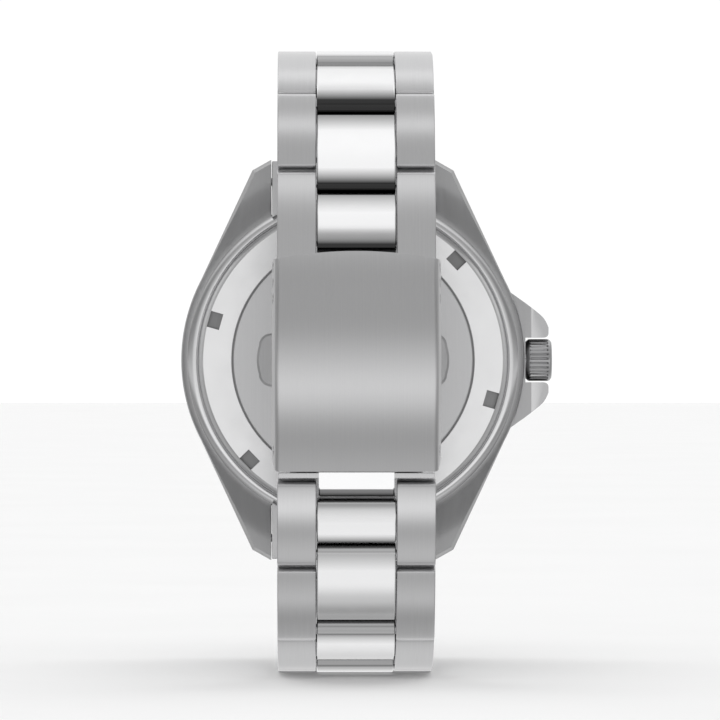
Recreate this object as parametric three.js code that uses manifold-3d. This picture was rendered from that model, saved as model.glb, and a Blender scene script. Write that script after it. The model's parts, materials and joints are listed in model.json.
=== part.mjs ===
// Dive watch on a three-piece steel bracelet with a folding clasp, in millimetres.
// Origin: centre of the caseback's flat face. +X points to the crown, +Y from the caseback to the
// crystal, +Z to the six o'clock side. The closed bracelet loop lies on the -Y side.
import * as THREE from "three";
import { mergeVertices } from "three/addons/utils/BufferGeometryUtils.js";
import Module from "manifold-3d";

const wasm = await Module();
wasm.setup();

// Case
const CASE_RADIUS = 21;
const CASE_BACK = 1.2;
const CASE_TOP = 8.9;
const FLANK_BREAK = 9.8;
const LUG_TIP_Z = 24.5;
const LUG_CORNER = [12.3, 23.2];
const LUG_GAP = 20;
const LUG_TIP_BOTTOM = 0.2;
const LUG_TIP_TOP = 3.9;
const BODY_RADIUS = 19.7;
const RING_SIDES = 36;
const CASEBACK_RADIUS = 18.7;
const CASEBACK_THICKNESS = 1.5;
const CASEBACK_NOTCHES = 6;
const NOTCH_ANGLE = 44;
const NOTCH_WIDTH = 1.9;
const NOTCH_INNER_RADIUS = 16.7;
const NOTCH_DEPTH = 0.7;
const GUARD_REACH = 24.05;
const GUARD_INNER_Z = 3;
const GUARD_TIP_Z = 4.2;

// Crown and keyless work, on an axis along X
const CROWN_RADIUS = 2.6;
const CROWN_START = 21.3;
const CROWN_END = 24.45;
const STEM_DEPTH = 5.3;
const STEM_RADIUS = 0.5;

// Movement
const BALANCE_AT = [-7, -7];
const BARREL_AT = [-5, 7.5];
const HOUR_HAND_AT = 304.5;
const MINUTE_HAND_AT = 54;

// Bracelet: pivots run along X; tilts are measured from the lug towards the clasp, per link
const PITCH = 10.3;
const LINK_HALF_THICKNESS = 1.35;
const FLAT_END = 1.6;
const CENTRE_HALF = 4.4;
const OUTER_INNER_X = 4.6;
const FIRST_PIVOT = [1, 26];
const UPPER_TILTS = [53, 74.5, 91.5, 120.5, 152.5, 162.5];
const LOWER_TILTS = [50, 75, 91.5, 113, 148, 167];
const LOWER_LAST_PITCH = 7.9;
const LINK_WIDTHS = [18.4, 18.2, 18.1, 18.1, 18.1, 18.1];
const PIN_RADIUS = 0.6;
const PIN_SIDES = 8;
const SPRING_BAR_AT = [2.3, 21.8];

// Clasp: curved plates about one axis along X
const CLASP_AXIS_Y = -16.5;
const COVER_RADIUS = 32;
const COVER_THICKNESS = 0.8;
const COVER_TOP = 12.4;
const COVER_BOTTOM = -12.7;
const COVER_HALF_WIDTH = 9.65;
const COVER_WALL = 0.45;
const COVER_WALL_DEPTH = 3.6;
const BLADE_HALF_WIDTH = 7.6;
const BLADE_THICKNESS = 1;
const OUTER_BLADE_RADIUS = 30.6;
const INNER_BLADE_RADIUS = 29;
const CLASP_END_RADIUS = 1;
const FOLD_LIP = { radius: 30.1, height: -10.3, barrel: 0.8 };
const FOLD_UPPER = { radius: 29.3, height: 7, barrel: 0.95 };

const radians = THREE.MathUtils.degToRad;

// ---------------------------------------------------------------- solids from three.js geometry

// A closed geometry as a solid; an outline's direction doesn't matter.
function solid(geometry) {
  const bare = geometry.clone();
  bare.deleteAttribute("normal");
  bare.deleteAttribute("uv");
  const merged = mergeVertices(bare, 1e-4);
  const corners = merged.attributes.position;
  const index = new Uint32Array(merged.index.array);
  const [a, b, c] = [new THREE.Vector3(), new THREE.Vector3(), new THREE.Vector3()];
  let sixVolumes = 0;
  for (let i = 0; i < index.length; i += 3) {
    a.fromBufferAttribute(corners, index[i]);
    b.fromBufferAttribute(corners, index[i + 1]);
    c.fromBufferAttribute(corners, index[i + 2]);
    sixVolumes += a.dot(b.cross(c));
  }
  if (sixVolumes < 0) {
    index.reverse();
  }
  const mesh = new wasm.Mesh({
    numProp: 3,
    vertProperties: new Float32Array(corners.array),
    triVerts: index,
  });
  mesh.merge();
  return new wasm.Manifold(mesh);
}

function toGeometry(body) {
  const mesh = body.getMesh();
  const geometry = new THREE.BufferGeometry();
  geometry.setAttribute("position", new THREE.BufferAttribute(mesh.vertProperties, 3));
  geometry.setIndex(new THREE.BufferAttribute(mesh.triVerts, 1));
  geometry.computeVertexNormals();
  return geometry;
}

const join = (...bodies) => bodies.reduce((whole, body) => whole.add(body));
const cut = (base, ...tools) => tools.reduce((whole, tool) => whole.subtract(tool), base);

// A block between two corners.
function block([x0, y0, z0], [x1, y1, z1]) {
  const geometry = new THREE.BoxGeometry(x1 - x0, y1 - y0, z1 - z0);
  geometry.translate((x0 + x1) / 2, (y0 + y1) / 2, (z0 + z1) / 2);
  return solid(geometry);
}

// An outline of [y, z] points, extruded along X from x0 to x1.
function prismX(points, x0, x1) {
  const shape = new THREE.Shape(points.map(([y, z]) => new THREE.Vector2(y, z)));
  const geometry = new THREE.ExtrudeGeometry(shape, { depth: x1 - x0, bevelEnabled: false });
  const axes = new THREE.Matrix4().makeBasis(
    new THREE.Vector3(0, 1, 0),
    new THREE.Vector3(0, 0, 1),
    new THREE.Vector3(1, 0, 0),
  );
  geometry.applyMatrix4(axes);
  geometry.translate(x0, 0, 0);
  return solid(geometry);
}

// An outline of [x, z] points, extruded along Y from y0 to y1.
function prismY(points, y0, y1) {
  const shape = new THREE.Shape(points.map(([x, z]) => new THREE.Vector2(x, -z)));
  const geometry = new THREE.ExtrudeGeometry(shape, { depth: y1 - y0, bevelEnabled: false });
  geometry.rotateX(-Math.PI / 2);
  geometry.translate(0, y0, 0);
  return solid(geometry);
}

// A solid turned about an axis along Y through (x, z), from [radius, y] points of its section.
function turned(section, sides = RING_SIDES, [x, z] = [0, 0]) {
  const closed = [...section, section[0]].map(([r, y]) => new THREE.Vector2(r, y));
  const geometry = new THREE.LatheGeometry(closed, sides);
  geometry.translate(x, 0, z);
  return solid(geometry);
}

const ring = (inner, outer, y0, y1, sides, at) =>
  turned([[inner, y0], [outer, y0], [outer, y1], [inner, y1]], sides, at);

const disc = (radius, y0, y1, sides, at) =>
  turned([[0, y0], [radius, y0], [radius, y1], [0, y1]], sides, at);

// A round bar along X about (y, z).
function bar(radius, x0, x1, [y, z], sides = PIN_SIDES) {
  const geometry = new THREE.CylinderGeometry(radius, radius, x1 - x0, sides, 1);
  geometry.rotateY(Math.PI / sides);
  geometry.rotateZ(-Math.PI / 2);
  geometry.translate((x0 + x1) / 2, y, z);
  return solid(geometry);
}

// Points along a circle about (a, b), angles in degrees.
function arc([a, b], radius, from, to, steps) {
  return Array.from({ length: steps + 1 }, (_, i) => {
    const angle = radians(from + ((to - from) * i) / steps);
    return [a + radius * Math.cos(angle), b + radius * Math.sin(angle)];
  });
}

// ---------------------------------------------------------------- the scene graph

const steel = (color, roughness) =>
  new THREE.MeshStandardMaterial({ color, roughness, metalness: 1 });
const dull = (color, roughness) =>
  new THREE.MeshStandardMaterial({ color, roughness, metalness: 0 });
const brushed = steel(0xb4b4b6, 0.38);
const polished = steel(0xd2d2d4, 0.12);
const pinSteel = steel(0x9a9a9c, 0.3);
const brass = steel(0xb08d4c, 0.35);
const rubber = dull(0x1a1a1c, 0.8);
const black = dull(0x15171c, 0.4);
const paleGlass = new THREE.MeshStandardMaterial({ color: 0xdfe8ee, roughness: 0.05, opacity: 0.4 });

const watch = new THREE.Group();

function add(name, body, material, parent = watch) {
  const mesh = new THREE.Mesh(toGeometry(body), material);
  mesh.name = name;
  parent.add(mesh);
}

// ---------------------------------------------------------------- case

// Plan of case and lugs: a round middle, with straight flanks running to the lug tips.
function casePlan() {
  const turn = THREE.MathUtils.radToDeg(Math.asin(FLANK_BREAK / CASE_RADIUS));
  return [
    ...arc([0, 0], CASE_RADIUS, -turn, turn, 10),
    [LUG_CORNER[0], LUG_CORNER[1]],
    [LUG_GAP / 2, LUG_TIP_Z],
    [-LUG_GAP / 2, LUG_TIP_Z],
    [-LUG_CORNER[0], LUG_CORNER[1]],
    ...arc([0, 0], CASE_RADIUS, 180 - turn, 180 + turn, 10),
    [-LUG_CORNER[0], -LUG_CORNER[1]],
    [-LUG_GAP / 2, -LUG_TIP_Z],
    [LUG_GAP / 2, -LUG_TIP_Z],
    [LUG_CORNER[0], -LUG_CORNER[1]],
  ];
}

// Side view of case and lugs: the lugs curve down towards the wrist.
const CASE_SIDE = [
  [CASE_BACK, 0],
  [CASE_BACK, 18.5],
  [LUG_TIP_BOTTOM, 21.5],
  [LUG_TIP_BOTTOM, LUG_TIP_Z + 1],
  [LUG_TIP_TOP, LUG_TIP_Z + 1],
  [LUG_TIP_TOP + 0.4, LUG_TIP_Z - 0.5],
  [6.4, 21.8],
  [7.9, 19],
  [CASE_TOP, 15.5],
  [CASE_TOP, 0],
];

function crownGuard(side) {
  const plan = [
    [18.5, GUARD_INNER_Z],
    [GUARD_REACH, GUARD_INNER_Z],
    [GUARD_REACH, GUARD_TIP_Z],
    [23.4, 5.2],
    [21.7, 6.6],
    [19.9, 7.9],
    [18.5, 9.4],
  ];
  return prismY(plan.map(([x, z]) => [x, side * z]), 3, 7.6);
}

function caseMiddle() {
  const side = [...CASE_SIDE, ...CASE_SIDE.slice(1, -1).reverse().map(([y, z]) => [y, -z])];
  let body = prismY(casePlan(), 0, CASE_TOP).intersect(prismX(side, -30, 30));
  const half = LUG_GAP / 2;
  const between = [
    block([-half, -1, 8], [half, 10, 30]),
    block([-half, -1, -30], [half, 10, -8]),
  ];
  const round = disc(BODY_RADIUS, -2, 11);
  body = cut(body, ...between.map((gap) => gap.subtract(round)));
  const neck = disc(18, CASE_TOP - 0.5, 11);
  const bore = turned([
    [0, 0], [19, 0], [19, 2.35], [17.5, 2.35], [17.5, 3.5], [16.3, 3.5],
    [16.3, 10.45], [16.65, 10.45], [16.65, 12], [0, 12],
  ]);
  body = join(body, neck, crownGuard(1), crownGuard(-1));
  const tubeHole = bar(1.8, 14, 30, [STEM_DEPTH, 0], 12);
  const barHoles = [1, -1].map((s) => bar(0.75, -11.4, 11.4, [SPRING_BAR_AT[0], s * SPRING_BAR_AT[1]]));
  return cut(body, bore, tubeHole, ...barHoles);
}

function caseback() {
  const notches = Array.from({ length: CASEBACK_NOTCHES }, (_, i) => {
    const geometry = new THREE.BoxGeometry(3, 2 * NOTCH_DEPTH, NOTCH_WIDTH);
    geometry.translate(NOTCH_INNER_RADIUS + 1.5, 0, 0);
    geometry.rotateY(-radians(NOTCH_ANGLE + (360 / CASEBACK_NOTCHES) * i));
    return solid(geometry);
  });
  const plate = turned([
    [0, 0], [CASEBACK_RADIUS - 0.3, 0], [CASEBACK_RADIUS, 0.3], [CASEBACK_RADIUS, CASEBACK_THICKNESS],
    [17.2, CASEBACK_THICKNESS], [17.2, 3.2], [16.2, 3.2], [16.2, 1.15], [0, 1.15],
  ]);
  return cut(plate, ...notches);
}

add("case_middle", caseMiddle(), brushed);
add("caseback", caseback(), polished);
add("caseback_gasket", ring(17.7, 18.6, 1.7, 2.1), rubber);
add("rehaut_ring", turned([[15, 8.65], [15.9, 8.65], [15.9, 10.3], [14.6, 10.3]]), brushed);
add("crystal", turned([[0, 10.65], [15.5, 10.65], [15.5, 12.7], [15.1, 13], [0, 13]]), paleGlass);
add("crystal_gasket", ring(15.75, 16.4, 10.7, 11.9), rubber);

// ---------------------------------------------------------------- bezel

add("bezel_gasket", ring(18.25, 18.75, 9.65, 10.05), rubber);
add(
  "bezel_ring",
  turned([
    [19, 9.5], [20.6, 9.5], [20.6, 11.6], [20, 12.4], [19.7, 12.4], [19.7, 11.95], [17, 11.95],
    [17, 11.3], [18.35, 11.3], [18.35, 10.3], [19, 10.3],
  ]),
  polished,
);
add("bezel_insert", ring(17.1, 19.45, 12.1, 12.5), black);
const springGap = block([15, 9, -1.5], [21, 9.5, 1.5]);
add("bezel_click_spring", cut(ring(18.4, 19.5, 9.08, 9.28), springGap), pinSteel);

// ---------------------------------------------------------------- crown

const crownAxis = [STEM_DEPTH, 0];
const crownBody = cut(
  bar(CROWN_RADIUS, CROWN_START, CROWN_END, crownAxis, 20),
  bar(1.95, CROWN_START - 1, CROWN_START + 1.8, crownAxis, 12),
  bar(0.75, CROWN_START, CROWN_START + 2.4, crownAxis),
);
add("crown", crownBody, polished);
add("crown_stem", bar(STEM_RADIUS, 8.2, CROWN_START + 2.2, crownAxis), pinSteel);
const tubeBore = bar(1.05, 15, 24, crownAxis, 12);
add("crown_tube", cut(bar(1.5, 16.6, CROWN_START + 1.2, crownAxis, 12), tubeBore), pinSteel);
const gasketBore = bar(0.75, 21, 24, crownAxis);
const gasketBody = bar(1.6, CROWN_START + 1.4, CROWN_START + 1.7, crownAxis, 12);
add("crown_gasket", cut(gasketBody, gasketBore), rubber);
const clutchBore = bar(0.75, 8, 12, crownAxis);
add("clutch_pinion", cut(bar(1.1, 8.8, 10.8, crownAxis, 12), clutchBore), brass);

// ---------------------------------------------------------------- movement and dial

const stemSlot = block([8, 3.9, -1.4], [17, 6.55, 1.4]);
add("movement_holder", cut(ring(14.7, 16, 3.7, 7.75), stemSlot), black);
add("mainplate", ring(1, 14.4, 6.6, 7.6), brass);

function trainBridge() {
  const plate = disc(14.2, 3.75, 4.55);
  const pillars = [[2, 11], [-12, 0], [2, -11]].map((at) => disc(0.9, 4, 6.3, 10, at));
  const rotorPost = disc(0.6, 2.1, 4, 10);
  const crownSide = block([6.3, 3, -15], [15, 5, 15]);
  const balanceWindow = disc(3.2, 3, 5, 20, BALANCE_AT);
  return join(cut(plate, crownSide, balanceWindow), ...pillars, rotorPost);
}
add("train_bridge", trainBridge(), steel(0xc9c9c4, 0.3));

function rotor() {
  const web = join(ring(12, 15.4, 1.7, 3.3), ring(0.9, 12.4, 2.2, 2.7));
  const missingHalf = block([-16, 1, 0.01], [16, 4, 16]);
  return join(cut(web, missingHalf), ring(0.9, 2.4, 2.1, 3.3, 16));
}
add("rotor", rotor(), steel(0xbdbdb8, 0.3));

function balanceWheel() {
  const [x, z] = BALANCE_AT;
  const rim = ring(3.3, 4.1, 5.3, 5.8, 20, BALANCE_AT);
  const spoke = block([x - 3.6, 5.4, z - 0.4], [x + 3.6, 5.7, z + 0.4]);
  return join(rim, spoke, disc(0.4, 4.8, 6.35, 8, BALANCE_AT));
}
add("balance_wheel", balanceWheel(), brass);
const barrelDrum = join(disc(5, 5, 6, 20, BARREL_AT), disc(0.7, 4.8, 6.35, 8, BARREL_AT));
add("mainspring_barrel", barrelDrum, brass);
add("dial", ring(1.6, 15.6, 7.95, 8.35), black);

// A hand: a tube about the watch axis and a blade, pointing to a clock angle from the 12 o'clock
// side (-Z), clockwise as seen through the crystal.
function hand(clockAngle, tube, blade) {
  const hub = join(
    ring(tube.bore, tube.radius, tube.y0, tube.y1, 16),
    ring(tube.bore, tube.hub, blade.y0, blade.y1, 16),
  );
  const outline = [
    [-blade.half, tube.bore + 0.2],
    [-blade.half, blade.length - blade.half * 2],
    [0, blade.length],
    [blade.half, blade.length - blade.half * 2],
    [blade.half, tube.bore + 0.2],
  ];
  const turn = radians(clockAngle);
  const placed = outline.map(([across, along]) => [
    across * Math.cos(turn) + along * Math.sin(turn),
    across * Math.sin(turn) - along * Math.cos(turn),
  ]);
  return join(hub, prismY(placed, blade.y0, blade.y1));
}
const hourTube = { bore: 0.95, radius: 1.3, hub: 1.6, y0: 7.85, y1: 8.95 };
add("hour_hand", hand(HOUR_HAND_AT, hourTube, { y0: 8.7, y1: 8.95, half: 0.9, length: 8.6 }), polished);
const minuteTube = { bore: 0.42, radius: 0.7, hub: 1.2, y0: 7.2, y1: 9.45 };
add("minute_hand", hand(MINUTE_HAND_AT, minuteTube, { y0: 9.2, y1: 9.45, half: 0.7, length: 12.6 }), polished);

function secondsHand() {
  const shaft = disc(0.2, 6.9, 9.9, 8);
  const hub = disc(0.8, 9.65, 9.85, 16);
  const needle = block([-0.15, 9.65, -13.2], [0.15, 9.85, 4.2]);
  return join(shaft, hub, needle);
}
add("seconds_hand", secondsHand(), polished);

// ---------------------------------------------------------------- bracelet

// Side outline of a link part along local Z: a round end about each pivot, or a flat end.
function linkOutline(startRound, endRound, length, endRadius = LINK_HALF_THICKNESS) {
  const t = LINK_HALF_THICKNESS;
  const start = startRound ? arc([0, 0], t, 180, 360, 6) : [[-t, FLAT_END], [t, FLAT_END]];
  if (!endRound) {
    return [...start, [t, length - FLAT_END], [-t, length - FLAT_END]];
  }
  if (endRadius === t) {
    return [...start, ...arc([0, length], t, 0, 180, 6)];
  }
  return [
    ...start, [t, length - 3 * endRadius], ...arc([0, length], endRadius, 0, 180, 6),
    [-t, length - 3 * endRadius],
  ];
}

// One link: two outer pieces with their round ends on the first pivot, and a centre piece whose
// round end reaches the next pivot. A hidden cross bar ties the three together.
function link(width) {
  const half = width / 2;
  const outer = linkOutline(true, false, PITCH);
  const centre = prismX(linkOutline(false, true, PITCH), -CENTRE_HALF, CENTRE_HALF);
  const crossBar = block([1 - half, -0.8, 3.2], [half - 1, 0.8, PITCH - 3.2]);
  const whole = join(
    prismX(outer, -half, -OUTER_INNER_X), prismX(outer, OUTER_INNER_X, half), centre, crossBar,
  );
  return cut(
    whole,
    bar(PIN_RADIUS + 0.2, -half - 1, half + 1, [0, 0]),
    bar(PIN_RADIUS + 0.25, -CENTRE_HALF - 0.1, CENTRE_HALF + 0.1, [0, PITCH]),
  );
}

// The last link at the clasp: its outer pieces reach both pivots and its centre piece is short.
function lastLink(width, length, endRadius) {
  const half = width / 2;
  const outer = linkOutline(true, true, length, endRadius);
  const centreEnd = length - endRadius - 0.45;
  const t = LINK_HALF_THICKNESS;
  const centre = prismX(
    [[-t, FLAT_END], [t, FLAT_END], [t, centreEnd - 0.6], [0.7, centreEnd], [-0.7, centreEnd],
      [-t, centreEnd - 0.6]],
    -CENTRE_HALF, CENTRE_HALF,
  );
  const crossBar = block([1 - half, -0.8, 2.4], [half - 1, 0.8, length - 2.8]);
  const whole = join(
    prismX(outer, -half, -OUTER_INNER_X), prismX(outer, OUTER_INNER_X, half), centre, crossBar,
  );
  return cut(
    whole,
    bar(PIN_RADIUS + 0.2, -half - 1, half + 1, [0, 0]),
    bar(PIN_RADIUS + 0.2, -half - 1, half + 1, [0, length]),
  );
}

// The end link fills the space between the lugs and carries the first pivot on its centre lobe.
function endLink() {
  const half = LUG_GAP / 2 - 0.25;
  const [pivotY, pivotZ] = FIRST_PIVOT;
  const between = [
    [LUG_TIP_BOTTOM + 0.1, 19], [LUG_TIP_BOTTOM + 0.1, pivotZ - FLAT_END - 0.1],
    [3.2, pivotZ - FLAT_END - 0.1], [6, 22], [7.4, 19],
  ];
  const tongue = [
    [pivotY - LINK_HALF_THICKNESS, 21], [pivotY + LINK_HALF_THICKNESS, 21],
    ...arc([pivotY, pivotZ], LINK_HALF_THICKNESS, 0, 180, 6),
  ];
  const body = join(prismX(between, -half, half), prismX(tongue, -CENTRE_HALF, CENTRE_HALF));
  return cut(
    body,
    disc(BODY_RADIUS + 0.35, -2, 11),
    bar(0.8, -half - 1, half + 1, SPRING_BAR_AT),
    bar(PIN_RADIUS + 0.25, -CENTRE_HALF - 1, CENTRE_HALF + 1, FIRST_PIVOT),
  );
}

// Pivots of one half of the bracelet in the upper half's sense (z positive), lug to clasp.
function pivots(tilts, lastPitch) {
  const points = [new THREE.Vector2(...FIRST_PIVOT)];
  tilts.forEach((tilt, i) => {
    const reach = i === tilts.length - 1 ? lastPitch : PITCH;
    const step = new THREE.Vector2(-Math.sin(radians(tilt)), Math.cos(radians(tilt)));
    points.push(points[i].clone().addScaledVector(step, reach));
  });
  return points;
}

function braceletHalf(prefix, side, tilts, lastPitch, clawRadius) {
  const points = pivots(tilts, lastPitch);
  const endGroup = new THREE.Group();
  endGroup.scale.z = side;
  watch.add(endGroup);
  add(`${prefix}_end_link`, endLink(), brushed, endGroup);
  const lugBar = bar(0.5, -11.1, 11.1, SPRING_BAR_AT);
  add(`${prefix}_lug_spring_bar`, lugBar, pinSteel, endGroup);
  tilts.forEach((tilt, i) => {
    const place = new THREE.Group();
    place.position.set(0, points[i].x, side * points[i].y);
    place.rotation.x = side > 0 ? radians(tilt) : Math.PI - radians(tilt);
    watch.add(place);
    const width = LINK_WIDTHS[i];
    const last = i === tilts.length - 1;
    const body = last ? lastLink(width, lastPitch, clawRadius) : link(width);
    add(`${prefix}_link_${i + 1}`, body, brushed, place);
    const pin = bar(PIN_RADIUS, 0.2 - width / 2, width / 2 - 0.2, [0, 0]);
    add(`${prefix}_link_pin_${i + 1}`, pin, pinSteel, place);
  });
  const end = points[tilts.length];
  return [end.x, side * end.y];
}

const upperEnd = braceletHalf("upper", 1, UPPER_TILTS, PITCH, LINK_HALF_THICKNESS);
const lowerEnd = braceletHalf("lower", -1, LOWER_TILTS, LOWER_LAST_PITCH, CLASP_END_RADIUS);

// ---------------------------------------------------------------- clasp

// Angle on the clasp's curve, in degrees about its axis, of a height z at a radius.
const angleAt = (radius, z) => 180 - THREE.MathUtils.radToDeg(Math.asin(z / radius));

// A curved band between two heights, its ends cut square to the curve.
function band(outer, thickness, low, high, steps) {
  const axis = [CLASP_AXIS_Y, 0];
  const from = angleAt(outer, low);
  const to = angleAt(outer, high);
  return [...arc(axis, outer, from, to, steps), ...arc(axis, outer - thickness, to, from, steps)];
}

function foldPoint({ radius, height }) {
  return [CLASP_AXIS_Y - Math.sqrt(radius ** 2 - height ** 2), height];
}
const lipPivot = foldPoint(FOLD_LIP);
const upperPivot = foldPoint(FOLD_UPPER);

function claspCover() {
  const whole = prismX(
    band(COVER_RADIUS, COVER_WALL_DEPTH, COVER_BOTTOM, COVER_TOP, 12), -COVER_HALF_WIDTH, COVER_HALF_WIDTH,
  );
  const inside = COVER_HALF_WIDTH - COVER_WALL;
  const channel = prismX(
    band(COVER_RADIUS - COVER_THICKNESS, 6, COVER_BOTTOM - 3, COVER_TOP + 3, 16), -inside, inside,
  );
  const holes = [lipPivot, upperEnd].map((at) => bar(0.65, -12, 12, at));
  return cut(whole, channel, ...holes);
}
add("clasp_cover", claspCover(), brushed);

function outerBlade() {
  const strip = prismX(
    band(OUTER_BLADE_RADIUS, BLADE_THICKNESS, lipPivot[1] + 0.3, upperPivot[1] - 0.2, 8),
    -BLADE_HALF_WIDTH, BLADE_HALF_WIDTH,
  );
  const lipBarrel = bar(FOLD_LIP.barrel, -BLADE_HALF_WIDTH, BLADE_HALF_WIDTH, lipPivot, 12);
  const upperBarrel = bar(FOLD_UPPER.barrel, -3, 3, upperPivot, 12);
  const clearance = [1, -1].map((side) => {
    const ends = [side * 3, side * 9].sort((a, b) => a - b);
    return bar(FOLD_UPPER.barrel + 0.35, ends[0], ends[1], upperPivot, 12);
  });
  return cut(
    join(cut(strip, ...clearance), lipBarrel, upperBarrel),
    bar(0.6, -12, 12, lipPivot),
    bar(0.65, -12, 12, upperPivot),
  );
}
add("clasp_outer_blade", outerBlade(), brushed);

function innerBlade() {
  const [endY, endZ] = lowerEnd;
  const strip = prismX(
    band(INNER_BLADE_RADIUS, BLADE_THICKNESS, COVER_BOTTOM - 0.5, upperPivot[1] - 0.2, 10),
    -BLADE_HALF_WIDTH, BLADE_HALF_WIDTH,
  );
  const knuckles = [[-BLADE_HALF_WIDTH, -3.3], [3.3, BLADE_HALF_WIDTH]].map(([x0, x1]) =>
    bar(FOLD_UPPER.barrel, x0, x1, upperPivot, 12),
  );
  const middleGap = bar(FOLD_UPPER.barrel + 0.35, -3.3, 3.3, upperPivot, 12);
  const foot = block([-8.9, endY - 1, COVER_BOTTOM - 0.75], [8.9, endY + 2, COVER_BOTTOM - 0.25]);
  const tongue = prismX(
    [[endY - 1, endZ], [endY - 1, COVER_BOTTOM - 0.3], [endY + 1, COVER_BOTTOM - 0.3], [endY + 1, endZ]],
    -CENTRE_HALF + 0.2, CENTRE_HALF - 0.2,
  );
  const barrel = bar(CLASP_END_RADIUS, -CENTRE_HALF + 0.2, CENTRE_HALF - 0.2, lowerEnd, 12);
  return cut(
    join(cut(strip, middleGap), ...knuckles, foot, tongue, barrel),
    bar(0.65, -12, 12, upperPivot),
    bar(0.65, -12, 12, lowerEnd),
  );
}
add("clasp_inner_blade", innerBlade(), brushed);

add("clasp_lip_pin", bar(0.4, -9.4, 9.4, lipPivot), pinSteel);
add("clasp_fold_pin", bar(0.4, -BLADE_HALF_WIDTH + 0.2, BLADE_HALF_WIDTH - 0.2, upperPivot), pinSteel);
add("upper_clasp_spring_bar", bar(0.4, -9.4, 9.4, upperEnd), pinSteel);
add("lower_clasp_spring_bar", bar(0.4, -CENTRE_HALF + 0.3, CENTRE_HALF - 0.3, lowerEnd), pinSteel);

export default watch;
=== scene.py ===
"""Dive watch on a steel bracelet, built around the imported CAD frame. Lengths in the code are millimetres
unless a name says otherwise, and MM turns them into Blender's metres."""

import json
import math

import bmesh
import bpy
from mathutils import Matrix, Vector


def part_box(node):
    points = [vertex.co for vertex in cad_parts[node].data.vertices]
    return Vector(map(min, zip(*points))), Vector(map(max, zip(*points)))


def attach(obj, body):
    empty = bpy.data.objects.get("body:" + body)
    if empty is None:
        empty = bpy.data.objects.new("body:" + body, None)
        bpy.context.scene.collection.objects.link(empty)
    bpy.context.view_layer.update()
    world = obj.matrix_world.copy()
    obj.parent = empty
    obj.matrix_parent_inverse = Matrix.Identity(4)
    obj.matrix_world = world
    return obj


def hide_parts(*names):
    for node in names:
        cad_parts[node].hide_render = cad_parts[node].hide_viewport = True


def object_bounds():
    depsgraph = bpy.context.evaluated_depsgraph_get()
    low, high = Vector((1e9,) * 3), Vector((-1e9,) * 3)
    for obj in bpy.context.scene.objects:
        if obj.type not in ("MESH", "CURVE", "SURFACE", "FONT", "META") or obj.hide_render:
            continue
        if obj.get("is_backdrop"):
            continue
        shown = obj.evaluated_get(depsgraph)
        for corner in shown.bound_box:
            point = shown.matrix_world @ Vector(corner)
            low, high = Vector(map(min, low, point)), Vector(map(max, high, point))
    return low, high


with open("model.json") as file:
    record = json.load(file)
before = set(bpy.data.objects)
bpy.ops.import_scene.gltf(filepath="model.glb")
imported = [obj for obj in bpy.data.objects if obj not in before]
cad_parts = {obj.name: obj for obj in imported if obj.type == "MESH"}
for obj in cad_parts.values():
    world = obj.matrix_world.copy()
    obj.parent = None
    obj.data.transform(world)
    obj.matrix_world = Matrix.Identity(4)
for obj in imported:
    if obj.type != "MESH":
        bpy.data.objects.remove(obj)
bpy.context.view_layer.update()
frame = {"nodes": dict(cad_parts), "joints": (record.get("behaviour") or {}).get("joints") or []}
MM = 0.001
THROUGH = 12
JOINT_AT = {j["name"]: Vector(j["pos_m"]) / MM for j in frame["joints"] if "pos_m" in j}


def node_box(node):
    """Lowest and highest corner of a CAD node, in millimetres."""
    low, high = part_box(node)
    return low / MM, high / MM


# ---------------- mesh helpers


def make(name, points, faces):
    mesh = bpy.data.meshes.new(name)
    mesh.from_pydata([tuple(c * MM for c in p) for p in points], [], faces)
    edit = bmesh.new()
    edit.from_mesh(mesh)
    bmesh.ops.remove_doubles(edit, verts=edit.verts, dist=1e-7)
    bmesh.ops.recalc_face_normals(edit, faces=edit.faces)
    edit.to_mesh(mesh)
    edit.free()
    obj = bpy.data.objects.new(name, mesh)
    bpy.context.scene.collection.objects.link(obj)
    return obj


def apply(obj):
    """The object's modifiers become part of its mesh."""
    bpy.context.view_layer.update()
    graph = bpy.context.evaluated_depsgraph_get()
    obj.data = bpy.data.meshes.new_from_object(obj.evaluated_get(graph), depsgraph=graph)
    obj.modifiers.clear()
    return obj


def bevel(obj, width, segments=3, angle=32):
    tool = obj.modifiers.new("bevel", "BEVEL")
    tool.width = width * MM
    tool.segments = segments
    tool.limit_method = "ANGLE"
    tool.angle_limit = math.radians(angle)
    tool.use_clamp_overlap = True
    apply(obj)
    return smooth(obj)


def smooth(obj, angle=38):
    obj.data.shade_smooth()
    obj.data.set_sharp_from_angle(angle=math.radians(angle))
    weighted = obj.modifiers.new("normals", "WEIGHTED_NORMAL")
    weighted.keep_sharp = True
    weighted.weight = 90
    return apply(obj)


def boolean(obj, *tools, operation="DIFFERENCE"):
    for tool in tools:
        step = obj.modifiers.new("boolean", "BOOLEAN")
        step.operation = operation
        step.solver = "EXACT"
        step.object = tool
        apply(obj)
        bpy.data.objects.remove(tool)
    return obj


def joined(name, *objects):
    """Several objects as one, with their material slots kept."""
    with bpy.context.temp_override(
        active_object=objects[0], selected_editable_objects=list(objects), object=objects[0]
    ):
        bpy.ops.object.join()
    objects[0].name = name
    return objects[0]


def arc(centre, radius, start, end, steps):
    """Points on a circle, angles in degrees."""
    a, b = centre
    turn = [math.radians(start + (end - start) * i / steps) for i in range(steps + 1)]
    return [(a + radius * math.cos(t), b + radius * math.sin(t)) for t in turn]


def extruded(name, outline, start, end, place):
    """An outline of (a, b) points between two levels, where place(a, b, level) is a corner."""
    n = len(outline)
    points = [place(a, b, level) for level in (start, end) for a, b in outline]
    sides = [(i, (i + 1) % n, n + (i + 1) % n, n + i) for i in range(n)]
    return make(name, points, [tuple(range(n)), tuple(range(n, 2 * n)), *sides])


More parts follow.
